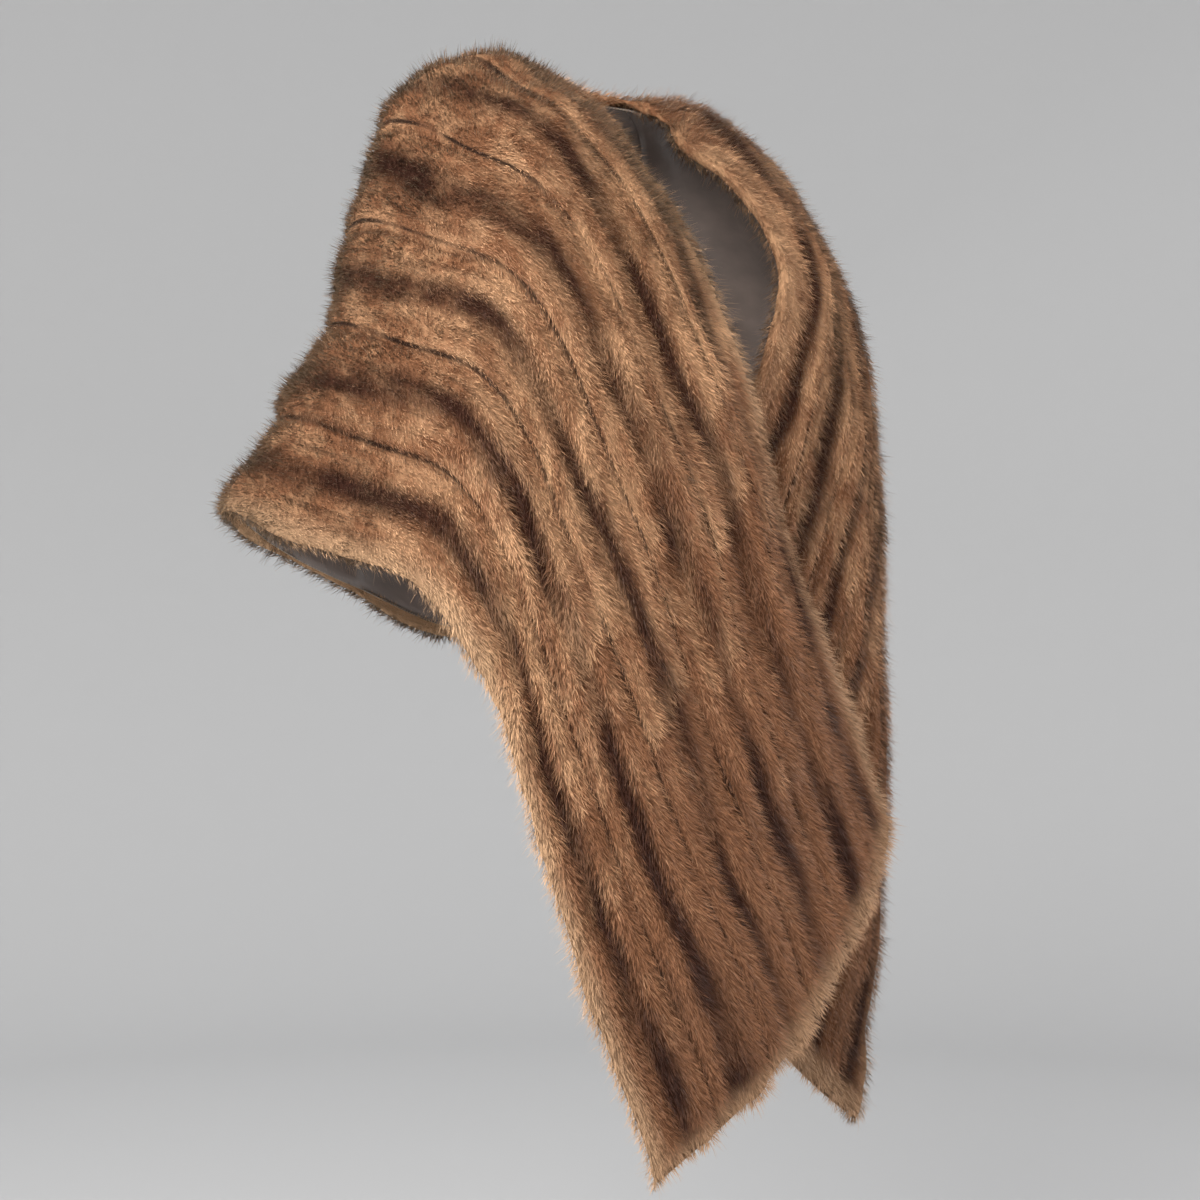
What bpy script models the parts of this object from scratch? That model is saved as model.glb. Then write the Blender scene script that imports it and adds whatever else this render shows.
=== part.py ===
# Evening stole of let-out fur, worn round the shoulders with its fronts crossed.
# Metres, +Z up. The wearer faces -Y and the wearer's right side is -X.
# The origin is midway between the two shoulders, where the stole rests on them.

import math
from collections import namedtuple

import bmesh
import bpy
import numpy as np

CM = 0.01
MM = 0.001

# How the stole is cut
ROWS = 6                      # let-out strips side by side, from the neck edge to the hem
SEAM_GAP = 0.3 * MM           # between neighbouring pieces
LINING_WALL = 1.5 * MM
LEATHER_AT = LINING_WALL + SEAM_GAP   # inner face of the fur, above the lining's inner face
PILE_TOP = 14.5 * MM          # outer face of the fur in the middle of a strip
SEAM_GROOVE = 3.5 * MM        # how far the fur sinks at a seam between strips
TURN_IN = 6 * MM              # width of fur turned in at each free edge, where the lining stops
TURN_STEP = 0.5 * MM          # length of the slope down to the turned-in fur
END_ROLL = 6 * MM             # how far the rounded fur edge reaches past the cut edge
EDGE_DROP = 1.5 * MM          # how much lower the fur is at a free edge

# How finely it is laid out
STEP = 0.5                    # distance between rings along the stole, in sections
ACROSS_STRIP = (0.0, 0.1, 0.3, 0.5, 0.7, 0.9, 1.0)
FINE = 121                    # points read along each section's curve

# The sections that carry the stole's form. Each is a curve from the neck edge to the hem,
# through the points named by the columns, given as (outwards, forwards, upwards) in centimetres.
Section = namedtuple("Section", "neck collar shoulder arm hem")

CENTRE_BACK = Section((0, -7.0, 1.2), (0, -10.2, -6.6), (0, -13.8, -18.2), (0, -16.6, -32.7),
                      (0, -18.6, -49.0))

SHOULDER = (
    Section((3.2, -6.3, 1.0), (6.8, -9.6, -4.8), (9.6, -13.6, -16.2),
            (11.2, -16.2, -29.2), (13.6, -19.2, -44.8)),
    Section((5.2, -4.4, 0.4), (11.4, -8.4, -2.0), (16.0, -11.8, -12.6),
            (18.8, -14.4, -26.2), (23.2, -18.6, -41.0)),
    Section((6.1, -2.2, -0.4), (15.1, -6.8, -0.6), (19.5, -9.0, -9.4),
            (22.3, -11.6, -24.2), (28.0, -16.6, -38.8)),
    Section((6.3, 0.0, -1.6), (13.8, -1.8, -0.2), (20.2, -3.0, -7.2),
            (24.2, -5.0, -22.2), (31.0, -8.4, -40.0)),
    Section((6.0, 2.2, -3.2), (12.6, 2.8, -2.8), (19.4, 3.6, -8.8), (24.8, 2.4, -23.4), (30.8, 0.8, -42.4)),
)

RIGHT_FRONT = (
    Section((5.4, 4.6, -5.8), (11.0, 6.2, -5.2), (18.0, 8.6, -12.2), (23.8, 8.4, -27.2), (28.4, 5.8, -44.6)),
    Section((5.2, 7.6, -10.0), (10.4, 10.2, -10.4), (16.8, 12.2, -18.8),
            (22.6, 11.2, -32.4), (26.4, 8.4, -48.4)),
    Section((5.2, 12.2, -15.4), (9.8, 14.2, -17.0), (15.4, 15.0, -26.2),
            (20.9, 13.0, -38.8), (24.2, 9.6, -53.6)),
    Section((4.4, 14.9, -21.4), (8.6, 16.6, -24.2), (13.6, 17.0, -33.4),
            (19.0, 14.4, -45.2), (22.7, 10.4, -58.8)),
    Section((1.8, 16.1, -27.6), (5.8, 17.8, -31.4), (11.0, 17.9, -40.6),
            (16.8, 15.2, -52.0), (21.0, 11.0, -64.4)),
    Section((-0.7, 16.4, -34.2), (3.2, 18.2, -38.8), (8.6, 18.4, -48.0),
            (14.5, 16.0, -59.0), (19.0, 11.6, -70.4)),
    Section((-3.8, 16.6, -42.0), (0.0, 18.4, -46.8), (5.6, 18.6, -55.8),
            (11.8, 16.6, -66.2), (16.7, 12.2, -76.4)),
    Section((-7.6, 16.8, -49.6), (-3.6, 18.4, -55.2), (2.2, 18.6, -64.0),
            (8.8, 16.9, -74.0), (14.4, 12.8, -82.4)),
    Section((-12.6, 16.9, -57.4), (-8.4, 18.2, -63.8), (-2.2, 18.4, -72.4),
            (4.9, 16.9, -81.4), (11.8, 13.4, -88.2)),
    Section((-17.8, 17.0, -65.8), (-13.6, 18.2, -71.8), (-7.2, 18.2, -79.2),
            (0.6, 16.8, -86.6), (10.0, 13.8, -93.1)),
)

LEFT_FRONT = (
    Section((5.6, 5.0, -5.6), (11.2, 6.4, -5.4), (18.0, 8.6, -12.4), (24.2, 8.2, -27.0), (29.4, 6.0, -44.2)),
    Section((5.7, 8.8, -8.4), (10.8, 10.6, -10.2), (17.0, 12.0, -18.6),
            (23.4, 11.0, -32.2), (28.0, 8.0, -48.4)),
    Section((6.2, 12.4, -12.6), (10.8, 13.6, -15.6), (16.4, 13.8, -25.2),
            (22.8, 12.2, -37.8), (27.2, 8.4, -52.2)),
    Section((6.0, 14.6, -17.8), (10.0, 14.9, -22.0), (15.4, 14.8, -31.8),
            (22.2, 13.0, -44.0), (26.8, 8.8, -57.2)),
    Section((4.0, 14.6, -24.2), (7.8, 14.6, -29.0), (13.8, 14.7, -38.8),
            (21.6, 13.4, -50.6), (26.4, 9.2, -62.6)),
    Section((0.8, 13.8, -31.6), (4.8, 14.1, -36.4), (11.8, 14.3, -46.2),
            (20.9, 13.8, -57.4), (26.0, 9.8, -68.6)),
    Section((-2.8, 13.2, -39.6), (1.6, 13.7, -44.6), (9.4, 14.0, -54.2),
            (19.4, 14.0, -64.8), (25.1, 10.4, -74.8)),
    Section((-6.2, 12.6, -48.0), (-1.6, 13.2, -53.2), (6.8, 13.7, -62.6),
            (17.2, 13.9, -72.6), (23.7, 11.0, -80.8)),
    Section((-9.4, 11.6, -56.8), (-4.6, 12.6, -62.2), (4.2, 13.4, -71.2),
            (14.2, 13.8, -80.4), (21.6, 11.8, -87.0)),
    Section((-12.4, 10.4, -65.8), (-7.2, 11.8, -71.8), (1.8, 13.0, -80.2),
            (11.2, 13.6, -88.0), (19.4, 12.4, -93.0)),
)

FRONT_ENDS = len(SHOULDER) + len(RIGHT_FRONT)   # places counted from the centre back to a tip

# Soft folds that run along the stole. Places count along it from the centre back, positive to the
# wearer's right. Across is 0 at the neck edge and 1 at the hem. Breadth is a share of the width.
Fold = namedtuple("Fold", "start end across_start across_end breadth height")
FOLDS = (
    Fold(3.0, 11.0, 0.50, 0.33, 0.13, 0.8 * CM),
    Fold(4.0, 13.5, 0.30, 0.55, 0.12, -0.7 * CM),
    Fold(6.5, 15.5, 0.12, 0.22, 0.11, 0.8 * CM),
    Fold(1.5, 8.0, 0.80, 0.70, 0.14, 0.9 * CM),
    Fold(7.0, 15.0, 0.72, 0.74, 0.12, 0.7 * CM),
    Fold(-10.5, -2.0, 0.36, 0.52, 0.13, 0.8 * CM),
    Fold(-13.5, -5.0, 0.60, 0.74, 0.12, -0.6 * CM),
    Fold(-15.5, -6.0, 0.20, 0.12, 0.11, 0.7 * CM),
    Fold(-8.0, -1.5, 0.72, 0.84, 0.14, 0.8 * CM),
    Fold(-1.6, 1.6, 0.62, 0.62, 0.16, -0.6 * CM),
)

# Shallow waves that the hem throws where it hangs free, each at a place along the stole.
Flute = namedtuple("Flute", "place reach across_from height")
FLUTES = (
    Flute(3.0, 0.9, 0.80, 1.2 * CM),
    Flute(1.2, 0.8, 0.60, -0.9 * CM),
    Flute(4.7, 0.8, 0.62, -0.9 * CM),
    Flute(-3.2, 0.9, 0.80, 1.1 * CM),
    Flute(-1.4, 0.8, 0.60, -0.8 * CM),
    Flute(-4.9, 0.8, 0.62, -0.8 * CM),
)

# Where the strips of each row are joined end to end on the right and left fronts, neck row first.
RIGHT_JOINS = (9.5, 10.5, 11.5, 11.0, 9.5, 10.5)
LEFT_JOINS = (10.0, 11.0, 10.5, 11.5, 10.5, 9.5)
LINING_SEAM = 2.5             # the lining's side seams lie this many places from the centre back

# A ring round a piece at one place along the stole, with each point's share across the width
# and its height over the lining's inner face.
Ring = namedtuple("Ring", "place points shares heights")


def in_metres(section, side):
    """The section's points as x, y, z, on the wearer's right for side +1 and left for -1."""
    return np.array([(-side * out, -front, up) for out, front, up in section]) * CM


def catmull_rom(points, at):
    """Points read at the places `at` from a smooth curve through all of `points`."""
    first = 2 * points[0] - points[1]
    last = 2 * points[-1] - points[-2]
    line = np.concatenate([first[None], points, last[None]])
    at = np.clip(np.asarray(at, float), 0, len(points) - 1)
    start = np.minimum(at.astype(int), len(points) - 2)
    part = (at - start).reshape(at.shape + (1,) * (points.ndim - 1))
    a, b, c, d = (line[start + k] for k in range(4))
    square = 2 * a - 5 * b + 4 * c - d
    cube = 3 * b - a - 3 * c + d
    return b + 0.5 * ((c - a) * part + square * part ** 2 + cube * part ** 3)


def evenly(points):
    """A section's smooth curve, read at FINE points that lie the same distance apart."""
    dense = catmull_rom(points, np.linspace(0, len(points) - 1, 8 * FINE))
    run = np.concatenate([[0], np.cumsum(np.linalg.norm(np.diff(dense, axis=0), axis=1))])
    wanted = np.linspace(0, run[-1], FINE)
    return np.stack([np.interp(wanted, run, dense[:, k]) for k in range(3)], axis=1)


def whole_stole():
    """Every section from the wearer's left tip over the back to the right tip."""
    left = [in_metres(section, -1) for section in SHOULDER + LEFT_FRONT]
    right = [in_metres(section, 1) for section in SHOULDER + RIGHT_FRONT]
    sections = left[::-1] + [in_metres(CENTRE_BACK, 1)] + right
    return np.array([evenly(points) for points in sections])


SECTIONS = whole_stole()


def read(places, across):
    """The lining's inner face, at places along the stole and shares of its width."""
    rings = catmull_rom(SECTIONS, np.asarray(places, float) + FRONT_ENDS)
    at = np.clip(across, 0, 1) * (FINE - 1)
    low = np.minimum(at.astype(int), FINE - 2)
    part = (at - low)[:, None]
    index = np.arange(len(at))
    return rings[index, low] * (1 - part) + rings[index, low + 1] * part


def smooth_step(value):
    value = np.clip(value, 0, 1)
    return value * value * (3 - 2 * value)


def relief(places, across):
    """How far the folds and flutes lift the cloth off its plain form."""
    lift = np.zeros(len(places))
    for fold in FOLDS:
        share = (places - fold.start) / (fold.end - fold.start)
        ends = smooth_step(share * 4) * smooth_step((1 - share) * 4)
        middle = fold.across_start + (fold.across_end - fold.across_start) * np.clip(share, 0, 1)
        lift += fold.height * ends * np.exp(-(((across - middle) / (fold.breadth / 2)) ** 2))
    for flute in FLUTES:
        along = np.exp(-(((places - flute.place) / (flute.reach / 2)) ** 2))
        lift += flute.height * along * smooth_step((across - flute.across_from) / (1 - flute.across_from))
    return lift


def unit(vectors):
    return vectors / np.linalg.norm(vectors, axis=-1, keepdims=True)


def plain_frame(places, across):
    """Point, outward normal and the two directions in the cloth, without the folds."""
    small = 0.02
    last = FRONT_ENDS - small
    inside = np.clip(places, -last, last)
    along = unit(read(inside + small, across) - read(inside - small, across))
    middle = np.clip(across, small, 1 - small)
    width = unit(read(places, middle + small) - read(places, middle - small))
    return read(places, across), unit(np.cross(width, along)), along, width


def frame(places, across):
    """Point of the draped cloth with its outward normal, and the directions along and across it."""
    places = np.asarray(places, float)
    across = np.asarray(across, float)
    point, normal, along, width = plain_frame(places, across)
    return point + normal * relief(places, across)[:, None], normal, along, width


def pile(share):
    """Height of the fur across one strip, full in the middle and sunk at both seams."""
    return PILE_TOP - SEAM_GROOVE * (1 - math.sin(math.pi * share) ** 0.7)


def width_at(place):
    """The straight distance from the neck edge to the hem at a place."""
    edges = read(np.array([place, place]), np.array([0.0, 1.0]))
    return np.linalg.norm(edges[1] - edges[0])


def place_before_tip(distance):
    """The place that lies `distance` in from either tip."""
    ends = read(np.array([FRONT_ENDS - 1.0, FRONT_ENDS]), np.array([0.5, 0.5]))
    return FRONT_ENDS - distance / np.linalg.norm(ends[1] - ends[0])


def ring_of_strip(row, place, turned_in, squeeze=1.0, push=0.0):
    """One closed ring round a strip of fur.

    At a tip the fur is turned in over its whole thickness, so turned_in lowers the inner face.
    squeeze thins the wall about its middle and push moves it along the stole, to round a tip.
    """
    low_edge = row / ROWS
    high_edge = (row + 1) / ROWS
    outer = [(low_edge + (high_edge - low_edge) * share, pile(share)) for share in ACROSS_STRIP]
    inner_at = 0.0 if turned_in else LEATHER_AT
    inner = [(high_edge, inner_at), (0.5 * (low_edge + high_edge), inner_at), (low_edge, inner_at)]
    turn = TURN_IN / width_at(place)
    step = TURN_STEP / width_at(place)
    if row == 0:
        outer[0] = (0.0, PILE_TOP - EDGE_DROP)
        inner = inner[:2] + [(turn + step, inner_at), (turn, 0.0), (0.0, 0.0)]
    if row == ROWS - 1:
        outer[-1] = (1.0, PILE_TOP - EDGE_DROP)
        inner = [(1.0, 0.0), (1 - turn, 0.0), (1 - turn - step, inner_at)] + inner[1:]
    corners = outer + inner
    shares = np.array([share for share, _ in corners])
    heights = np.array([height for _, height in corners])
    middle = 0.5 * (PILE_TOP + inner_at)
    heights = middle + (heights - middle) * squeeze
    point, normal, along, across = frame(np.full(len(corners), place), shares)
    points = point + normal * heights[:, None] + along * push
    if row > 0:
        at_seam = np.isclose(shares, low_edge)
        points[at_seam] += across[at_seam] * SEAM_GAP / 2
    if row < ROWS - 1:
        at_seam = np.isclose(shares, high_edge)
        points[at_seam] -= across[at_seam] * SEAM_GAP / 2
    ring = Ring(place, list(points), list(shares), list(heights))
    last = len(outer) - 1
    if row == ROWS - 1:
        return round_the_edge(ring, last, last + 1, across[last])
    if row == 0:
        return round_the_edge(ring, len(corners) - 1, 0, -across[0])
    return ring


def round_the_edge(ring, start, end, outwards):
    """The ring with an arc between two neighbouring corners, which bulges by END_ROLL."""
    centre = 0.5 * (ring.points[start] + ring.points[end])
    rise = 0.5 * (ring.points[start] - ring.points[end])
    arc = []
    levels = []
    for turn in (50, 0, -50):
        angle = math.radians(turn)
        arc.append(centre + outwards * END_ROLL * math.cos(angle) + rise * math.sin(angle))
        levels.append(0.5 * (ring.heights[start] + ring.heights[end]))
    cut = start + 1
    shares = [ring.shares[start]] * len(arc)
    return Ring(
        ring.place,
        ring.points[:cut] + arc + ring.points[cut:],
        ring.shares[:cut] + shares + ring.shares[cut:],
        ring.heights[:cut] + levels + ring.heights[cut:],
    )


def band(mesh, one, two, one_loop, two_loop):
    """Triangles between two rings, cut along the diagonals that every neighbouring piece has."""
    one_is_near = abs(one.place) <= abs(two.place)
    for index in range(len(one_loop)):
        after = (index + 1) % len(one_loop)
        here = (one.shares[index], -one.heights[index])
        there = (one.shares[after], -one.heights[after])
        a, b, c, d = one_loop[index], one_loop[after], two_loop[after], two_loop[index]
        if one_is_near == (here <= there):
            mesh.faces.new((a, b, c))
            mesh.faces.new((a, c, d))
        else:
            mesh.faces.new((a, b, d))
            mesh.faces.new((b, c, d))


def cap(mesh, ring, loop, first_line):
    """Triangles over a ring, between the line of its first points and the line of the rest."""
    one = list(zip(ring.shares, loop))[:first_line]
    two = list(zip(ring.shares, loop))[:first_line - 1:-1]
    while len(one) > 1 or len(two) > 1:
        use_one = len(two) == 1 or (len(one) > 1 and one[1][0] <= two[1][0])
        line = one if use_one else two
        mesh.faces.new((one[0][1], two[0][1], line[1][1]))
        line.pop(0)


def loft(name, rings, first_line, collection, material):
    """One closed body through rings that all have the same number of points."""
    mesh = bmesh.new()
    loops = [[mesh.verts.new(point) for point in ring.points] for ring in rings]
    for index in range(len(rings) - 1):
        band(mesh, rings[index], rings[index + 1], loops[index], loops[index + 1])
    for end in (0, -1):
        cap(mesh, rings[end], loops[end], first_line)
    bmesh.ops.recalc_face_normals(mesh, faces=mesh.faces)
    data = bpy.data.meshes.new(name)
    mesh.to_mesh(data)
    mesh.free()
    data.materials.append(material)
    data.shade_smooth()
    data.set_sharp_from_angle(angle=math.radians(50))
    piece = bpy.data.objects.new(name, data)
    collection.objects.link(piece)
    return piece


def places_between(start, end):
    """Places on one even grid that all pieces share, with the two ends themselves."""
    low, high = min(start, end), max(start, end)
    grid = STEP * np.arange(math.ceil(low / STEP + 0.1), math.floor(high / STEP - 0.1) + 1)
    places = [low, *grid, high]
    return places if start < end else places[::-1]


def drawn_back(ring, other):
    """A ring moved half a seam's gap towards another ring of the same piece."""
    way = np.mean(other.points, axis=0) - np.mean(ring.points, axis=0)
    return ring._replace(points=[point + unit(way) * SEAM_GAP / 2 for point in ring.points])


def fur_strip(name, row, start, end, collection, material):
    """A strip from one end join to the next, or to the tip, where its edge is rounded."""
    if abs(end) < FRONT_ENDS:
        rings = [ring_of_strip(row, place, False) for place in places_between(start, end)]
        rings[-1] = drawn_back(rings[-1], rings[-2])
    else:
        side = math.copysign(1, end)
        lined_to = side * place_before_tip(TURN_IN)
        turned_from = side * place_before_tip(TURN_IN - TURN_STEP)
        rings = [ring_of_strip(row, place, False) for place in places_between(start, lined_to)]
        rings.append(ring_of_strip(row, turned_from, True))
        rings.append(ring_of_strip(row, end, True))
        for turn in (35, 65, 85):
            angle = math.radians(turn)
            push = side * END_ROLL * math.sin(angle)
            rings.append(ring_of_strip(row, end, True, math.cos(angle), push))
    rings[0] = drawn_back(rings[0], rings[1])
    return loft(name, rings, len(ACROSS_STRIP), collection, material)


def ring_of_lining(place):
    """A closed ring round the lining, whose points face those of the fur."""
    edge = (TURN_IN + TURN_STEP + SEAM_GAP) / width_at(place)
    shares = np.arange(2 * ROWS + 1) / (2 * ROWS)
    shares[0] = edge
    shares[-1] = 1 - edge
    point, normal, _, _ = frame(np.full(len(shares), place), shares)
    points = list(point) + list((point + normal * LINING_WALL)[::-1])
    heights = [0.0] * len(shares) + [LINING_WALL] * len(shares)
    return Ring(place, points, list(shares) + list(shares[::-1]), heights)


def lining_panel(name, start, end, collection, material):
    """A thin wall inside the fur, short of the free edges by the width that the fur turns in."""
    rings = [ring_of_lining(place) for place in places_between(start, end)]
    rings[0] = drawn_back(rings[0], rings[1])
    rings[-1] = drawn_back(rings[-1], rings[-2])
    return loft(name, rings, 2 * ROWS + 1, collection, material)


def surface(name, colour, roughness):
    material = bpy.data.materials.new(name)
    material.use_nodes = True
    shader = material.node_tree.nodes["Principled BSDF"]
    shader.inputs["Base Color"].default_value = (*colour, 1)
    shader.inputs["Roughness"].default_value = roughness
    shader.inputs["Metallic"].default_value = 0.0
    return material


def empty_scene():
    for thing in list(bpy.data.objects):
        bpy.data.objects.remove(thing, do_unlink=True)


def main():
    empty_scene()
    stole = bpy.data.collections.new("evening_stole")
    bpy.context.scene.collection.children.link(stole)
    satin = surface("taupe_satin", (0.17, 0.14, 0.125), 0.35)
    for row in range(ROWS):
        fur = surface(f"fur_row_{row + 1}", (0.33 - 0.01 * row, 0.205 - 0.006 * row, 0.125), 0.7)
        for side, joins, word in ((1, RIGHT_JOINS, "right"), (-1, LEFT_JOINS, "left")):
            name = f"fur_row_{row + 1}_{word}"
            fur_strip(f"{name}_back", row, 0.0, side * joins[row], stole, fur)
            fur_strip(f"{name}_front", row, side * joins[row], side * FRONT_ENDS, stole, fur)
    tip = place_before_tip(TURN_IN + TURN_STEP + SEAM_GAP)
    lining_panel("lining_back", -LINING_SEAM, LINING_SEAM, stole, satin)
    lining_panel("lining_right", LINING_SEAM, tip, stole, satin)
    lining_panel("lining_left", -LINING_SEAM, -tip, stole, satin)


main()
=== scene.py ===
import math

import bpy
import numpy as np
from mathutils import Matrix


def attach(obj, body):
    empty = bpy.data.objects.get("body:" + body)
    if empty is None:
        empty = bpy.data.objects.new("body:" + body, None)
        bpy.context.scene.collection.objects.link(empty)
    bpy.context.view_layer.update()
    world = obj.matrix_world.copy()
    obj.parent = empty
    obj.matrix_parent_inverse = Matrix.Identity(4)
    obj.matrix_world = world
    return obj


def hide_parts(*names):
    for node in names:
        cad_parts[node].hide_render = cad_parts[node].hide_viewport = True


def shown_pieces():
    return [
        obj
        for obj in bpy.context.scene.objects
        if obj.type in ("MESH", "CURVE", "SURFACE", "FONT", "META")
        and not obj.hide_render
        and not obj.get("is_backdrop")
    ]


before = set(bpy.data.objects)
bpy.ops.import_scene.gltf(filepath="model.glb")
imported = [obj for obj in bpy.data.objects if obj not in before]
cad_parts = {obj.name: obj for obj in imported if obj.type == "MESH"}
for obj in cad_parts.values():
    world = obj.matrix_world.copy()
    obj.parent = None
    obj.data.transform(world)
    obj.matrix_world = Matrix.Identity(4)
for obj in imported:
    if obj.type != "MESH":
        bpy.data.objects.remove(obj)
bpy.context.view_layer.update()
print("frame loaded")

# the cut of the stole: sections from the neck edge to the hem, (outwards, forwards, upwards) in cm
cut = {
    "rows": 6,
    "centreBack": ((0, -7.0, 1.2), (0, -10.2, -6.6), (0, -13.8, -18.2), (0, -16.6, -32.7), (0, -18.6, -49.0)),
    "shoulder": (
        ((3.2, -6.3, 1.0), (6.8, -9.6, -4.8), (9.6, -13.6, -16.2),
         (11.2, -16.2, -29.2), (13.6, -19.2, -44.8)),
        ((5.2, -4.4, 0.4), (11.4, -8.4, -2.0), (16.0, -11.8, -12.6),
         (18.8, -14.4, -26.2), (23.2, -18.6, -41.0)),
        ((6.1, -2.2, -0.4), (15.1, -6.8, -0.6), (19.5, -9.0, -9.4),
         (22.3, -11.6, -24.2), (28.0, -16.6, -38.8)),
        ((6.3, 0.0, -1.6), (13.8, -1.8, -0.2), (20.2, -3.0, -7.2),
         (24.2, -5.0, -22.2), (31.0, -8.4, -40.0)),
        ((6.0, 2.2, -3.2), (12.6, 2.8, -2.8), (19.4, 3.6, -8.8), (24.8, 2.4, -23.4), (30.8, 0.8, -42.4)),
    ),
    "rightFront": (
        ((5.4, 4.6, -5.8), (11.0, 6.2, -5.2), (18.0, 8.6, -12.2), (23.8, 8.4, -27.2), (28.4, 5.8, -44.6)),
        ((5.2, 7.6, -10.0), (10.4, 10.2, -10.4), (16.8, 12.2, -18.8),
         (22.6, 11.2, -32.4), (26.4, 8.4, -48.4)),
        ((5.2, 12.2, -15.4), (9.8, 14.2, -17.0), (15.4, 15.0, -26.2),
         (20.9, 13.0, -38.8), (24.2, 9.6, -53.6)),
        ((4.4, 14.9, -21.4), (8.6, 16.6, -24.2), (13.6, 17.0, -33.4),
         (19.0, 14.4, -45.2), (22.7, 10.4, -58.8)),
        ((1.8, 16.1, -27.6), (5.8, 17.8, -31.4), (11.0, 17.9, -40.6),
         (16.8, 15.2, -52.0), (21.0, 11.0, -64.4)),
        ((-0.7, 16.4, -34.2), (3.2, 18.2, -38.8), (8.6, 18.4, -48.0),
         (14.5, 16.0, -59.0), (19.0, 11.6, -70.4)),
        ((-3.8, 16.6, -42.0), (0.0, 18.4, -46.8), (5.6, 18.6, -55.8),
         (11.8, 16.6, -66.2), (16.7, 12.2, -76.4)),
        ((-7.6, 16.8, -49.6), (-3.6, 18.4, -55.2), (2.2, 18.6, -64.0),
         (8.8, 16.9, -74.0), (14.4, 12.8, -82.4)),
        ((-12.6, 16.9, -57.4), (-8.4, 18.2, -63.8), (-2.2, 18.4, -72.4),
         (4.9, 16.9, -81.4), (11.8, 13.4, -88.2)),
        ((-17.8, 17.0, -65.8), (-13.6, 18.2, -71.8), (-7.2, 18.2, -79.2),
         (0.6, 16.8, -86.6), (10.0, 13.8, -93.1)),
    ),
    "leftFront": (
        ((5.6, 5.0, -5.6), (11.2, 6.4, -5.4), (18.0, 8.6, -12.4), (24.2, 8.2, -27.0), (29.4, 6.0, -44.2)),
        ((5.7, 8.8, -8.4), (10.8, 10.6, -10.2), (17.0, 12.0, -18.6),
         (23.4, 11.0, -32.2), (28.0, 8.0, -48.4)),
        ((6.2, 12.4, -12.6), (10.8, 13.6, -15.6), (16.4, 13.8, -25.2),
         (22.8, 12.2, -37.8), (27.2, 8.4, -52.2)),
        ((6.0, 14.6, -17.8), (10.0, 14.9, -22.0), (15.4, 14.8, -31.8),
         (22.2, 13.0, -44.0), (26.8, 8.8, -57.2)),
        ((4.0, 14.6, -24.2), (7.8, 14.6, -29.0), (13.8, 14.7, -38.8),
         (21.6, 13.4, -50.6), (26.4, 9.2, -62.6)),
        ((0.8, 13.8, -31.6), (4.8, 14.1, -36.4), (11.8, 14.3, -46.2),
         (20.9, 13.8, -57.4), (26.0, 9.8, -68.6)),
        ((-2.8, 13.2, -39.6), (1.6, 13.7, -44.6), (9.4, 14.0, -54.2),
         (19.4, 14.0, -64.8), (25.1, 10.4, -74.8)),
        ((-6.2, 12.6, -48.0), (-1.6, 13.2, -53.2), (6.8, 13.7, -62.6),
         (17.2, 13.9, -72.6), (23.7, 11.0, -80.8)),
        ((-9.4, 11.6, -56.8), (-4.6, 12.6, -62.2), (4.2, 13.4, -71.2),
         (14.2, 13.8, -80.4), (21.6, 11.8, -87.0)),
        ((-12.4, 10.4, -65.8), (-7.2, 11.8, -71.8), (1.8, 13.0, -80.2),
         (11.2, 13.6, -88.0), (19.4, 12.4, -93.0)),
    ),
    # places where the strips are joined end to end, neck row first
    "rightJoins": (9.5, 10.5, 11.5, 11.0, 9.5, 10.5),
    "leftJoins": (10.0, 11.0, 10.5, 11.5, 10.5, 9.5),
    "liningSeam": 2.5,
    "frontFrom": 5,  # place where the shoulder ends, and over how many the front starts
    "frontReach": 4,
    "tip": 15,  # sections from the centre back to a tip
    "columns": 121,  # points read along each section
    "perSection": 12,  # grid rows for each section along the stole
}
# start, end, across at start, across at end, breadth, height in cm
folds = (
    (3.0, 11.0, 0.5, 0.33, 0.13, 0.8), (4.0, 13.5, 0.3, 0.55, 0.12, -0.7), (6.5, 15.5, 0.12, 0.22, 0.11, 0.8),
    (1.5, 8.0, 0.8, 0.7, 0.14, 0.9), (7.0, 15.0, 0.72, 0.74, 0.12, 0.7), (-10.5, -2.0, 0.36, 0.52, 0.13, 0.8),
    (-13.5, -5.0, 0.6, 0.74, 0.12, -0.6), (-15.5, -6.0, 0.2, 0.12, 0.11, 0.7),
    (-8.0, -1.5, 0.72, 0.84, 0.14, 0.8), (-1.6, 1.6, 0.62, 0.62, 0.16, -0.6),
)
# place, reach, across from, height in cm
flutes = (
    (3.0, 0.9, 0.8, 1.2), (1.2, 0.8, 0.6, -0.9), (4.7, 0.8, 0.62, -0.9),
    (-3.2, 0.9, 0.8, 1.1), (-1.4, 0.8, 0.6, -0.8), (-4.9, 0.8, 0.62, -0.8),
)
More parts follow.
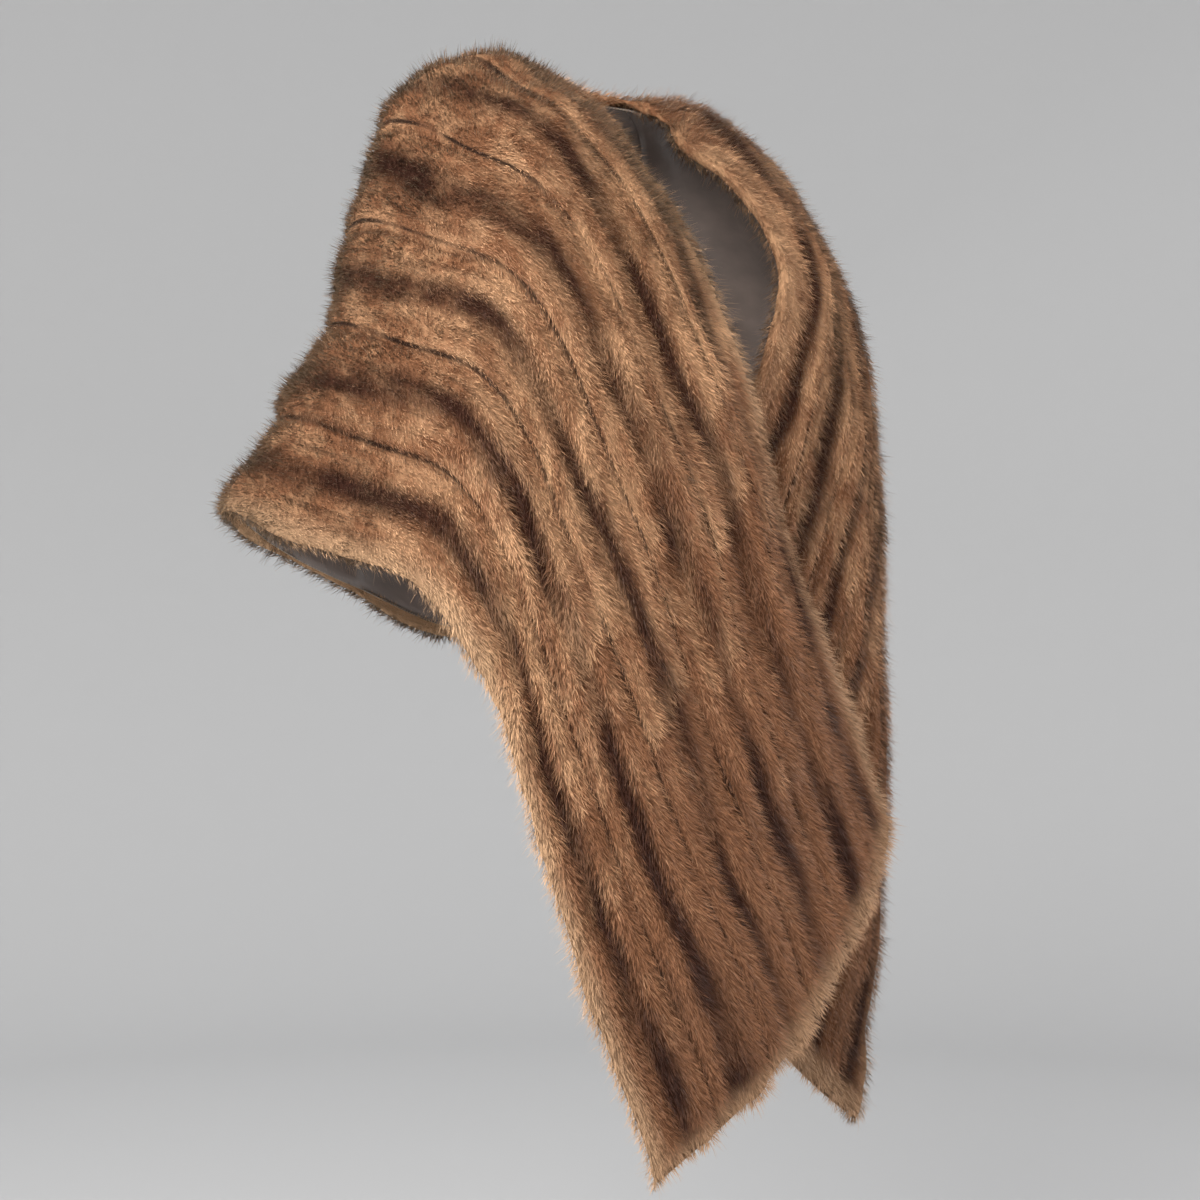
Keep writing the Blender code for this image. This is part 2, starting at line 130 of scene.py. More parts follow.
# the fur's thickness and form, in metres
pelt = {
    "pileTop": 0.0145,  # outer face over the lining's inner face
    "step": 0.0055,  # how far the fur steps down past a seam, towards the hem
    "stepReach": 0.07,  # share of a strip over which it rises again
    "stepFade": 0.25,  # how much less it steps down on the fronts
    "shoulder": 0.0022,  # how far it sinks just before a seam
    "seamReach": 0.1,  # share of a strip over which it sinks there and at a free edge
    "edgeDrop": 0.0015,
    "trough": 0.0026,  # how far it sinks along the dark middle of a strip
    "troughOnFronts": 0.9,  # how much deeper that is on the fronts
    "troughReach": 0.15,  # breadth and wandering in strips
    "troughWander": 0.07,
    "turnIn": 0.006,  # fur turned in at each free edge
    "edgeTurn": 75,  # degrees each way round a long edge
    "edgeRings": 6,
    "endRoll": 0.006,  # how far a rounded edge reaches out
    "endTurns": (25, 45, 65, 85),  # degrees of the rings round each end
    "endRun": 0.008,  # length of pelt that goes round an end
    "skinDepth": 0.0022,  # how far the underfur lies under the tips of the pile
    "tuft": 0.0007,  # height of the soft tufts
    "lump": 0.004,  # height of the larger soft lumps
    "fineTufts": 0.6,
    # metres to a cell along, cells across a strip, seed
    "tuftGrain": (0.014, 6, 5),
    "fineTuftGrain": (0.006, 13, 6),
    "lumpGrain": (0.052, 2.3, 7),
}
lastColumn = cut["columns"] - 1
perStrip = lastColumn // cut["rows"]
endRings = len(pelt["endTurns"])


def unit(v):
    return v / np.maximum(np.linalg.norm(v, axis=-1, keepdims=True), 1e-9)


def easeStep(t):
    t = np.clip(t, 0, 1)
    return t * t * (3 - 2 * t)


def runAlong(points):
    # metres from the first point to each of them
    return np.concatenate([[0], np.cumsum(np.linalg.norm(np.diff(points, axis=0), axis=1))])


def smoothCurve(points, at):
    line = np.concatenate([[2 * points[0] - points[1]], points, [2 * points[-1] - points[-2]]])
    at = np.clip(np.asarray(at, float), 0, len(points) - 1)
    start = np.minimum(at.astype(int), len(points) - 2)
    t = (at - start).reshape(at.shape + (1,) * (points.ndim - 1))
    a, b, c, d = (line[start + k] for k in range(4))
    return b + 0.5 * ((c - a) * t + (2 * a - 5 * b + 4 * c - d) * t ** 2 + (3 * b - a - 3 * c + d) * t ** 3)


def evenlySpaced(points):
    dense = smoothCurve(points, np.linspace(0, len(points) - 1, 8 * cut["columns"]))
    run = runAlong(dense)
    wanted = np.linspace(0, run[-1], cut["columns"])
    return np.stack([np.interp(wanted, run, dense[:, k]) for k in range(3)], axis=1)


def sectionPoints(section, side):
    return evenlySpaced(np.array([(-side * out, -front, up) for out, front, up in section]) * 0.01)


def foldLift(placesAt, across):
    lift = np.zeros(np.broadcast(placesAt, across).shape)
    for start, end, acrossStart, acrossEnd, breadth, height in folds:
        share = (placesAt - start) / (end - start)
        ends = easeStep(share * 4) * easeStep((1 - share) * 4)
        middle = acrossStart + (acrossEnd - acrossStart) * np.clip(share, 0, 1)
        lift = lift + 0.01 * height * ends * np.exp(-(((across - middle) / (breadth / 2)) ** 2))
    for place, reach, acrossFrom, height in flutes:
        along = np.exp(-(((placesAt - place) / (reach / 2)) ** 2))
        lift = lift + 0.01 * height * along * easeStep((across - acrossFrom) / (1 - acrossFrom))
    return lift


def surfaceWays(points):
    # unit ways across and along a grid of points, and its outward normal
    across = unit(np.gradient(points, axis=1))
    along = unit(np.gradient(points, axis=0))
    return across, along, unit(np.cross(across, along))


# the cloth: the lining's inner face, rows along the stole and columns across it
shoulderAndLeft = [sectionPoints(s, -1) for s in cut["shoulder"] + cut["leftFront"]]
shoulderAndRight = [sectionPoints(s, 1) for s in cut["shoulder"] + cut["rightFront"]]
sections = np.array(shoulderAndLeft[::-1] + [sectionPoints(cut["centreBack"], 1)] + shoulderAndRight)
places = np.linspace(-cut["tip"], cut["tip"], 2 * cut["tip"] * cut["perSection"] + 1)
acrossShares = np.linspace(0, 1, cut["columns"])
plain = smoothCurve(sections, places + cut["tip"])
acrossWay, alongWay, clothNormal = surfaceWays(plain)
cloth = plain + clothNormal * foldLift(places[:, None], acrossShares[None])[..., None]
alongRun = runAlong(cloth[:, lastColumn // 2])
alongRun -= alongRun[len(places) // 2]
widths = np.linalg.norm(np.diff(cloth, axis=1), axis=2).sum(axis=1)
print("cloth laid out:", plain.shape, "width", widths.min().round(3), widths.max().round(3))


def softNoise(metres, rows, grain):
    # smooth random values from -1 to 1 on a grid of unit cells
    reach, cells, seed = grain
    x, y = metres / reach, rows * cells
    size = 256
    table = np.random.default_rng(seed).uniform(-1, 1, (size, size))
    xi, yi = np.floor(x).astype(int), np.floor(y).astype(int)
    fx, fy = easeStep(x - xi), easeStep(y - yi)
    a, b = table[xi % size, yi % size], table[(xi + 1) % size, yi % size]
    c, d = table[xi % size, (yi + 1) % size], table[(xi + 1) % size, (yi + 1) % size]
    return (a * (1 - fx) + b * fx) * (1 - fy) + (c * (1 - fx) + d * fx) * fy


def onCloth(index, share, sources):
    # the cloth's grids, read in some of their rows at shares across them
    at = np.clip(share, 0, 1) * lastColumn
    low = np.minimum(at.astype(int), lastColumn - 1)
    t = (at - low)[..., None]
    return [source[index, low] * (1 - t) + source[index, low + 1] * t for source in sources]


def onFronts(place):
    # 0 over the back and shoulders, 1 on the fronts
    return easeStep((np.abs(place) - cut["frontFrom"]) / cut["frontReach"])


def pileHeight(share, place):
    v = share * cut["rows"]
    front = onFronts(place)
    inStrip = v - np.minimum(np.floor(v), cut["rows"] - 1)
    reach = pelt["seamReach"]
    afterSeam = pelt["step"] * (1 - pelt["stepFade"] * front) * np.exp(-inStrip / pelt["stepReach"]) * (v > 0.9)
    beforeSeam = pelt["shoulder"] * easeStep((inStrip - 1 + reach) / reach) * (v < cut["rows"] - 0.9)
    free = pelt["edgeDrop"] * (easeStep((reach - v) / reach) + easeStep((v - cut["rows"] + reach) / reach))
    depth = pelt["trough"] * (1 + pelt["troughOnFronts"] * front)
    fromMiddle = inStrip - 0.5 + pelt["troughWander"] * np.sin(place * 1.9 + 2 * np.floor(v))
    trough = depth * np.exp(-((fromMiddle / pelt["troughReach"]) ** 2))
    return pelt["pileTop"] - afterSeam - beforeSeam - free - trough


def furSurface():
    # round the neck edge, over the outside and round the hem, with rounded ends
    arc = np.radians(np.linspace(-pelt["edgeTurn"], pelt["edgeTurn"], pelt["edgeRings"]))
    turned = np.linspace(1, 0, pelt["edgeRings"])
    columns = [("neckTurn", t) for t in turned] + [("neckArc", a) for a in arc]
    columns += [("outer", s) for s in acrossShares]
    columns += [("hemArc", a) for a in arc[::-1]] + [("hemTurn", t) for t in turned[::-1]]
    ends = np.radians(pelt["endTurns"])
    rowIndex = np.concatenate([[0] * endRings, np.arange(len(places)), [len(places) - 1] * endRings])
    endTurn = np.concatenate([ends[::-1], np.zeros(len(places)), ends])
    endSide = np.concatenate([[-1.0] * endRings, np.zeros(len(places)), [1.0] * endRings])
    middle = 0.5 * pelt["pileTop"]
    half = 0.5 * (pelt["pileTop"] - pelt["edgeDrop"])
    points = []
    for kind, value in columns:
        out = 0.0
        if kind == "outer":
            share = np.full(len(rowIndex), value)
            height = pileHeight(np.array(value), places[rowIndex])
        elif kind.endswith("Arc"):
            share = np.full(len(rowIndex), 0.0 if kind == "neckArc" else 1.0)
            height = half + half * math.sin(value)
            out = pelt["endRoll"] * math.cos(value) * (-1 if kind == "neckArc" else 1)
        else:
            share = pelt["turnIn"] / widths[rowIndex] * value
            height = 0.0
            if kind == "hemTurn":
                share = 1 - share
        base, normal, along, across = onCloth(rowIndex, share, (cloth, clothNormal, alongWay, acrossWay))
        lift = middle + (height - middle) * np.cos(endTurn)
        push = endSide * pelt["endRoll"] * np.sin(endTurn)
        points.append(base + normal * lift[:, None] + along * push[:, None] + across * out)
    points = np.stack(points, axis=1)
    metres = alongRun[rowIndex] + endSide * np.sin(endTurn) * pelt["endRun"]
    shape = points.shape[:2]
    return points, np.broadcast_to(metres[:, None], shape), np.broadcast_to(places[rowIndex][:, None], shape)


furPoints, furAlong, furPlace = furSurface()
furNormal = surfaceWays(furPoints)[2]
firstOuter = 2 * pelt["edgeRings"]
ringRun = np.concatenate([np.zeros((len(furPoints), 1)),
                          np.cumsum(np.linalg.norm(np.diff(furPoints, axis=1), axis=2), axis=1)], axis=1)
acrossRows = ringRun - ringRun[:, firstOuter:firstOuter + 1]
outerRun = ringRun[:, firstOuter + lastColumn] - ringRun[:, firstOuter]
acrossRows = acrossRows / outerRun[:, None] * cut["rows"]
tufts = softNoise(furAlong, acrossRows, pelt["tuftGrain"])
tufts = tufts + pelt["fineTufts"] * softNoise(furAlong, acrossRows, pelt["fineTuftGrain"])
lumps = softNoise(furAlong, acrossRows, pelt["lumpGrain"])
furPoints = furPoints + furNormal * (pelt["tuft"] * tufts + pelt["lump"] * lumps)[..., None]
furAcrossWay, furAlongWay, furNormal = surfaceWays(furPoints)


def turnedInEnd(side):
    # inner face of one end, where the fur is turned in
    near, last = (len(places) - 2, len(places) - 1) if side > 0 else (1, 0)
    points = [cloth[near], cloth[last]]
    metres = [alongRun[near], alongRun[last]]
    for turn in np.radians(pelt["endTurns"]):
        lift = 0.5 * pelt["pileTop"] * (1 - math.cos(turn))
        push = side * pelt["endRoll"] * math.sin(turn)
        points.append(cloth[last] + clothNormal[last] * lift + alongWay[last] * push)
        metres.append(alongRun[last] + side * pelt["endRun"] * math.sin(turn))
    return np.array(points), np.array(metres)


def nodeOf(tree, kind, **values):
    node = tree.nodes.new(kind)
    for name, value in values.items():
        setattr(node, name, value)
    return node


def feed(tree, socket, value):
    # a number, a colour or a link
    if isinstance(value, (int, float)):
        socket.default_value = value
    elif isinstance(value, tuple):
        socket.default_value = (*value, 1)
    else:
        tree.links.new(value, socket)


def maths(tree, operation, a, b=None):
    node = nodeOf(tree, "ShaderNodeMath", operation=operation)
    feed(tree, node.inputs[0], a)
    if b is not None:
        feed(tree, node.inputs[1], b)
    return node.outputs[0]


def between(tree, value, low, high, toLow=0.0, toHigh=1.0):
    node = nodeOf(tree, "ShaderNodeMapRange", interpolation_type="SMOOTHSTEP")
    tree.links.new(value, node.inputs["Value"])
    for name, number in zip(("From Min", "From Max", "To Min", "To Max"), (low, high, toLow, toHigh)):
        node.inputs[name].default_value = number
    return node.outputs[0]


def mixed(tree, factor, one, two, blend="MIX"):
    node = nodeOf(tree, "ShaderNodeMix", data_type="RGBA", blend_type=blend)
    for index, value in ((0, factor), (6, one), (7, two)):  # factor, first colour, second colour
        feed(tree, node.inputs[index], value)
    return node.outputs[2]


def noiseAt(tree, vector, scales, detail=2.0, rough=0.5):
    stretch = nodeOf(tree, "ShaderNodeVectorMath", operation="MULTIPLY")
    tree.links.new(vector, stretch.inputs[0])
    stretch.inputs[1].default_value = (*scales, 0)
    noise = nodeOf(tree, "ShaderNodeTexNoise", noise_dimensions="2D")
    noise.inputs["Scale"].default_value = 1
    noise.inputs["Detail"].default_value = detail
    noise.inputs["Roughness"].default_value = rough
    tree.links.new(stretch.outputs[0], noise.inputs["Vector"])
    return noise.outputs["Fac"]


def newFinish(name, roughness, specular=0.5, sheen=0.0):
    material = bpy.data.materials.new(name)
    material.use_nodes = True
    shader = material.node_tree.nodes["Principled BSDF"]
    shader.inputs["Roughness"].default_value = roughness
    shader.inputs["Specular IOR Level"].default_value = specular
    shader.inputs["Sheen Weight"].default_value = sheen
    return material, material.node_tree, shader


def peltMap(tree):
    # metres along the stole, and strips across it
    return nodeOf(tree, "ShaderNodeUVMap", uv_map="pelt").outputs[0]


def relieve(tree, shader, height, strength, distance):
    relief = nodeOf(tree, "ShaderNodeBump")
    relief.inputs["Strength"].default_value = strength
    relief.inputs["Distance"].default_value = distance
    tree.links.new(height, relief.inputs["Height"])
    tree.links.new(relief.outputs[0], shader.inputs["Normal"])


furColours = {
    "pale": (0.88, 0.505, 0.275),
    "body": (0.395, 0.178, 0.088),
    "stripe": (0.054, 0.019, 0.012),
    # pale fur along the hem and the tips, and painted light on the neck rim
    "edge": (0.8, 0.51, 0.3),
    # painted shade in the seams between the strips
    "seam": (0.022, 0.011, 0.008),
}
# noise scales along and across, detail and roughness, then the values read from and to
furPatches = {
    "blotch": ((8, 1.5), 4, 0.6, 0.32, 0.58, 0.5, 1.0),  # breaks in the dark middle of a strip
    "streak": ((7, 12), 3, 0.55, 0.5, 0.7, 0.0, 0.42),  # thin dark streaks
    "seamShadeBreaks": ((13, 1.1), 4, 0.62, 0.28, 0.56, 0.34, 0.94),  # where the painted shade along the seams breaks up
    "mottle": ((26, 3.2), 4, 0.6, 0.34, 0.66, 0.0, 1.0),  # brown and pale hair
}
furDrawing = {
    "wanderScales": (6, 0.8),  # how the dark middle wanders, and how far in strips
    "wander": 0.5,
    "stripe": (0.04, 0.26, 1.0, 0.0),  # strips from the middle, then how dark
    "stripeShare": 0.96,
    "seam": (0.008, 0.04, 1.0, 0.0),  # painted seam shade: strips from a seam, then how dark
    "seamsWithin": 2.6,  # strips from the middle row
    "seamOnFronts": (0.36, 0.6, 1.0, 0.8),  # metres from the centre back, share
    "mottleShare": 0.72,
    "edgeShare": 0.75,
    "rootShade": (0.0, 0.85, 0.3, 1.0),  # root to tip
    "tipShade": (0.6, 1.05, 1.0, 0.8),  # metres from the centre back, lightness
}


def furColourGroup():
    group = bpy.data.node_groups.new("letOutFurColour", "ShaderNodeTree")
    for name in ("Pelt", "Strand", "Tone", "Edge"):
        kind = "NodeSocketVector" if name == "Pelt" else "NodeSocketFloat"
        group.interface.new_socket(name=name, in_out="INPUT", socket_type=kind)
    group.interface.new_socket(name="Colour", in_out="OUTPUT", socket_type="NodeSocketColor")
    inside = nodeOf(group, "NodeGroupInput").outputs
    outside = nodeOf(group, "NodeGroupOutput")
    parts = nodeOf(group, "ShaderNodeSeparateXYZ")
    group.links.new(inside["Pelt"], parts.inputs[0])
    across = parts.outputs["Y"]
    fromBack = maths(group, "ABSOLUTE", parts.outputs["X"])

    def patch(name):
        scales, detail, rough, *ends = furPatches[name]
        return between(group, noiseAt(group, inside["Pelt"], scales, detail, rough), *ends)

    def times(a, b):
        return maths(group, "MULTIPLY", a, b)

    # the dark middle of each strip, with its breaks and streaks
    wander = maths(group, "SUBTRACT", noiseAt(group, inside["Pelt"], furDrawing["wanderScales"], 2), 0.5)
    moved = maths(group, "ADD", across, times(wander, furDrawing["wander"]))
    fromMiddle = maths(group, "ABSOLUTE", maths(group, "SUBTRACT", maths(group, "FRACT", moved), 0.5))
    stripe = times(between(group, fromMiddle, *furDrawing["stripe"]), patch("blotch"))
    stripe = maths(group, "MAXIMUM", stripe, patch("streak"))
    # painted shade along the seams between the strips
    inStrip = maths(group, "FRACT", across)
    toSeam = maths(group, "MINIMUM", inStrip, maths(group, "SUBTRACT", 1.0, inStrip))
    fromMiddleRow = maths(group, "ABSOLUTE", maths(group, "SUBTRACT", across, cut["rows"] / 2))
    inField = maths(group, "LESS_THAN", fromMiddleRow, furDrawing["seamsWithin"])
    shows = times(patch("seamShadeBreaks"), between(group, fromBack, *furDrawing["seamOnFronts"]))
    seam = times(times(between(group, toSeam, *furDrawing["seam"]), inField), shows)
    # the colours, one over the other
    toned = maths(group, "ADD", times(patch("mottle"), furDrawing["mottleShare"]), inside["Tone"])
    colour = mixed(group, toned, furColours["body"], furColours["pale"])
    keep = maths(group, "SUBTRACT", 1.0, inside["Edge"])
    colour = mixed(group, times(times(stripe, furDrawing["stripeShare"]), keep), colour, furColours["stripe"])
    # pale free edges, and painted light on the neck rim
    colour = mixed(group, times(inside["Edge"], furDrawing["edgeShare"]), colour, furColours["edge"])
    # painted shade along the seams
    colour = mixed(group, seam, colour, furColours["seam"])
    shade = between(group, inside["Strand"], *furDrawing["rootShade"])
    shade = times(shade, between(group, fromBack, *furDrawing["tipShade"]))
    grey = nodeOf(group, "ShaderNodeCombineColor")
    for k in range(3):
        group.links.new(shade, grey.inputs[k])
    colour = mixed(group, 1.0, colour, grey.outputs[0], "MULTIPLY")
    group.links.new(colour, outside.inputs["Colour"])
    return group


furColour = furColourGroup()


def furFinish(name, roughness, specular, sheen):
    material, tree, shader = newFinish(name, roughness, specular, sheen)
    group = nodeOf(tree, "ShaderNodeGroup", node_tree=furColour)
    tree.links.new(peltMap(tree), group.inputs["Pelt"])
    for value in ("Strand", "Tone", "Edge"):
        attribute = nodeOf(tree, "ShaderNodeAttribute", attribute_name=value.lower())
        tree.links.new(attribute.outputs["Fac"], group.inputs[value])
    tree.links.new(group.outputs[0], shader.inputs["Base Color"])
    shader.inputs["Sheen Roughness"].default_value = 0.35
    shader.inputs["Sheen Tint"].default_value = (0.9, 0.62, 0.4, 1)
    return material, tree, shader


def underfurMaterial():
    material, tree, shader = furFinish("underfur", 0.8, 0.1, 0.0)
    relieve(tree, shader, noiseAt(tree, peltMap(tree), (260, 90), 3, 0.6), 0.8, 0.002)
    return material


def guardHairMaterial():
    material, tree, shader = furFinish("guardHair", 0.48, 0.2, 0.14)
    # both faces of a strand take the light as the pile does
    lay = nodeOf(tree, "ShaderNodeAttribute", attribute_name="lay")
    tree.links.new(lay.outputs["Vector"], shader.inputs["Normal"])
    return material


underfurFinish = underfurMaterial()
guardHairFinish = guardHairMaterial()
print("materials made")


def addUv(mesh, name, perVertex):
    loops = np.empty(len(mesh.loops), dtype=np.int32)
    mesh.loops.foreach_get("vertex_index", loops)
    layer = mesh.uv_layers.new(name=name)
    layer.data.foreach_set("uv", perVertex[loops].astype(np.float32).ravel())


def addValue(mesh, name, perVertex):
    mesh.attributes.new(name, "FLOAT", "POINT").data.foreach_set("value", perVertex.astype(np.float32).ravel())


def newObject(name, data):
    thing = bpy.data.objects.new(name, data)
    bpy.context.scene.collection.objects.link(thing)
    return thing


def meshFrom(name, points, faces):
    mesh = bpy.data.meshes.new(name)
    corners = faces.shape[1]
    mesh.vertices.add(len(points))
    mesh.vertices.foreach_set("co", points.astype(np.float32).ravel())
    mesh.loops.add(faces.size)
    mesh.loops.foreach_set("vertex_index", faces.astype(np.int32).ravel())
    mesh.polygons.add(len(faces))
    mesh.polygons.foreach_set("loop_start", np.arange(0, faces.size, corners, dtype=np.int32))
    mesh.update(calc_edges=True)
    return newObject(name, mesh)


def gridFaces(rows, columns, start=0, flip=False):
    index = start + np.arange(rows * columns).reshape(rows, columns)
    quads = np.stack([index[:-1, :-1], index[:-1, 1:], index[1:, 1:], index[1:, :-1]], axis=-1).reshape(-1, 4)
    return quads[:, ::-1] if flip else quads


def selectOnly(piece):
    bpy.ops.object.select_all(action="DESELECT")
    piece.select_set(True)
    bpy.context.view_layer.objects.active = piece


# how pale the free edges are, with painted light on the neck rim: where a band starts, how soft and how strong
# it is
edgeBands = {
    "hem": (5.72, 0.3),  # in strips
    # painted light on the neck rim
    "neck": (0.34, 0.3, 0.95),
    "neckEnds": (0.75, 0.2),  # metres from a tip where the neck's band ends
    "tip": (0.03, 0.022, 0.8),  # metres from a tip
    "leftNeck": (0.65, 0.35, 0.1),  # less painted light on the left front's neck rim
}
# how light each strip is; places are counted from the centre back
tones = {
    "own": 0.1,
    "low": (-0.85, 8.5, 6),  # darker towards the tips: how much, from where, over how many
    "chest": (0.16, 8, 2),  # how much, where, its reach
    "shoulder": (-0.24, 4.3, 1.3),
    "beforeJoin": 0.28,  # pale before a join, dark past it
    "afterJoin": 0.3,
    "joinReach": 0.9,
}


def edgeShare(rowsAcross, metresAlong):
    # 1 in a soft band along every free edge, 0 in the field; the band at the neck is painted light
    start, soft = edgeBands["hem"]
    nearHem = easeStep((rowsAcross - start) / soft)
    fromTip = np.minimum(alongRun[-1] - metresAlong, metresAlong - alongRun[0])
    start, soft, strength = edgeBands["neck"]
    endStart, endSoft = edgeBands["neckEnds"]
    nearNeck = strength * easeStep((start - rowsAcross) / soft) * easeStep((endStart - fromTip) / endSoft)
    mean, swing, reach = edgeBands["leftNeck"]
    nearNeck = nearNeck * (mean + swing * np.tanh(metresAlong / reach))
    start, soft, strength = edgeBands["tip"]
    nearTip = strength * easeStep((start - fromTip) / soft)
    return np.clip(np.maximum(np.maximum(nearHem, nearNeck), nearTip), 0, 1)


def toneOf(place, rowsAcross, join, side):
    strip = np.where(np.abs(place) > join, 1, 0)
    row = np.clip(np.floor(rowsAcross), 0, cut["rows"] - 1)
    low, lowFrom, lowReach = tones["low"]
    own = np.sin(row * 2.3 + strip * 1.7 + side * 0.9) * tones["own"]
    own = own + low * easeStep((np.abs(place) - lowFrom) / lowReach)
    for part in ("chest", "shoulder"):
        much, where, reach = tones[part]
        own = own + much * np.exp(-(((np.abs(place) - where) / reach) ** 2))
    past = np.abs(place) - join
    reach = tones["joinReach"]
    return own + np.where(past < 0, tones["beforeJoin"] * easeStep((past + reach) / reach),
                          -tones["afterJoin"] * easeStep((reach - past) / reach))


def stripBounds(row):
    # first and last column of a row of strips
    first = firstOuter + perStrip * row if row > 0 else 0
    last = firstOuter + perStrip * (row + 1) if row < cut["rows"] - 1 else furPoints.shape[1] - 1
    return first, last


def stripRows(side, start, end):
    # grid rows from one place to the next, with a tip's rounded end
    low, high = sorted(int(round((side * at + cut["tip"]) * cut["perSection"])) for at in (start, end))
    low, high = low + endRings, high + endRings
    if end == cut["tip"]:
        low, high = (low, len(furPoints) - 1) if side > 0 else (0, high)
    picked = np.arange(low, high + 1)
    # every second row is enough, apart from the rounded ends
    return picked[(picked % 2 == 0) | (picked < endRings) | (picked > len(furPoints) - 1 - endRings)]


underfur = {
    "strand": 0.42,  # share of the way from root to tip
    "turnedInLight": 0.38,  # painted light on the turned-in edges: how much nearer the tips it is read there
    "turnedReach": 0.3,
}


def underfurStrip(row, side, word, start, end, part):
    j0, j1 = stripBounds(row)
    step = np.ix_(stripRows(side, start, end), np.arange(j0, j1 + 1))
    skin = furPoints[step] - furNormal[step] * pelt["skinDepth"]
    rows, columns = skin.shape[:2]
    points = [skin.reshape(-1, 3)]
    faces = [gridFaces(rows, columns)]
    peltUv = [np.stack([furAlong[step], acrossRows[step]], axis=-1).reshape(-1, 2)]
    placeOf = [furPlace[step].ravel()]
    if end == cut["tip"]:
        inner, metres = turnedInEnd(side)
        inner = inner[:, perStrip * row:perStrip * (row + 1) + 1]
        across = acrossShares[perStrip * row:perStrip * (row + 1) + 1] * cut["rows"]
        points.append(inner.reshape(-1, 3))
        faces.append(gridFaces(len(inner), inner.shape[1], rows * columns, True))
        peltUv.append(np.stack(np.meshgrid(metres, across, indexing="ij"), axis=-1).reshape(-1, 2))
        placeOf.append(np.full(len(peltUv[1]), float(side * cut["tip"])))
    points, faces, uv, placeOf = (np.concatenate(group) for group in (points, faces, peltUv, placeOf))
    piece = meshFrom(f"underfur_{row + 1}_{word}_{part}", points, faces)
    mesh = piece.data
    addUv(mesh, "pelt", uv)
    bake = (uv - uv.min(axis=0)) / np.maximum(np.ptp(uv, axis=0), 1e-6)
    addUv(mesh, "OFBake", 0.01 + 0.98 * bake)
    # painted light on the turned-in edges, which lie in shade
    turnedInLight = np.clip(np.maximum(-uv[:, 1], uv[:, 1] - cut["rows"]) / underfur["turnedReach"], 0, 1)
    addValue(mesh, "strand", underfur["strand"] + underfur["turnedInLight"] * turnedInLight)
    addValue(mesh, "tone", toneOf(placeOf, uv[:, 1], cut[word + "Joins"][row], side))
    addValue(mesh, "edge", edgeShare(uv[:, 1], uv[:, 0]))
    mesh.materials.append(underfurFinish)
    mesh.shade_smooth()
    node = f"fur_row_{row + 1}_{word}_{part}"
    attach(piece, "root")
    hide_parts(node)
    return len(faces) * 2


def layUnderfur():
    triangles = 0
    for row in range(cut["rows"]):
        for side, word in ((1, "right"), (-1, "left")):
            join = cut[word + "Joins"][row]
            triangles += underfurStrip(row, side, word, 0, join, "back")
            triangles += underfurStrip(row, side, word, join, cut["tip"], "front")
    print("underfur laid, triangles:", triangles)


layUnderfur()


def sampled(source, i, j, fi, fj):
    # a grid's value between four of its points
    fi, fj = (f.reshape(-1, *[1] * (source.ndim - 2)) for f in (fi, fj))
    near = source[i, j] * (1 - fi) + source[i + 1, j] * fi
    far = source[i, j + 1] * (1 - fi) + source[i + 1, j + 1] * fi
    return near * (1 - fj) + far * fj


furGrids = {
    "root": furPoints,
    "normal": furNormal,
    "along": furAlongWay,
    "across": furAcrossWay,
    "metres": furAlong,
    "rows": acrossRows,
    "place": furPlace,
}
cellAlong = np.linalg.norm(furPoints[1:, :-1] - furPoints[:-1, :-1], axis=2)
cellAcross = np.linalg.norm(furPoints[:-1, 1:] - furPoints[:-1, :-1], axis=2)
cellArea = cellAlong * cellAcross
print("fur surface in square metres:", round(float(cellArea.sum()), 3))

hair = {
    "seed": 11,
    "strands": 430000,  # two triangles each
    "length": 0.0114,
    "lengths": (0.66, 1.22),  # shortest and longest, as shares of that
    "width": 0.0006,
    "widths": (0.6, 1.3),
    "rootDepth": 0.0042,  # roots start this far under the pile's surface
    "turned": (0.5, 0.15, 0.35),  # less deep, shorter, and the reach, where it is turned in
    "rise": (52, 7),  # degrees near the root, and how much they vary
    "flatten": (34, 8),  # degrees near the tip, the same
    "riseOnFronts": 11,
    "lean": (0.42, 0.12),  # share of the way towards the hem, at the shoulder and at the tips
    "leanChange": (5, 7),  # from which place, over how many
    "leanAtBack": 0.7,  # along the centre back, where the two halves part
    "backReach": 0.35,
    "turn": 0.2,  # how far strands turn out of line
    "swirlTurn": 0.17,
    "swirlRise": 7,
    "swirlGrain": (0.02, 4.2, 21),  # metres to a cell along, cells across a strip, seed
    "fineSwirlGrain": (0.008, 10, 22),
    "riseGrain": (0.009, 9, 23),
    "roll": 0.5,
    "strayShare": 0.15,  # share of strands that stand out
    "strayAtEdge": 0.4,  # how many more at a free edge
    "strayRise": 26,
    "strayLonger": 0.46,
    "strayLongerOnFronts": 0.1,
    "strayThinner": 0.46,
    # start and reach in strips, degrees lower, how much shorter, how much less lean
    "beforeSeam": (0.84, 0.14, 10, 0.25, 0.6),
    "afterSeam": (0.06, 0.06, 14, 0.3),
    "freeEdge": (0.22, 0.5),  # reach in strips, how much less lean
    "softNormal": 0.3,  # how far the light varies
    "toneVaries": 0.24,
    "toneSwirl": 0.12,
    "peltShift": 0.004,  # metres of blur in the drawing
    "strand": (0.0, 0.62, 0.62, 1.0),  # from root to tip at each corner of a strand
}


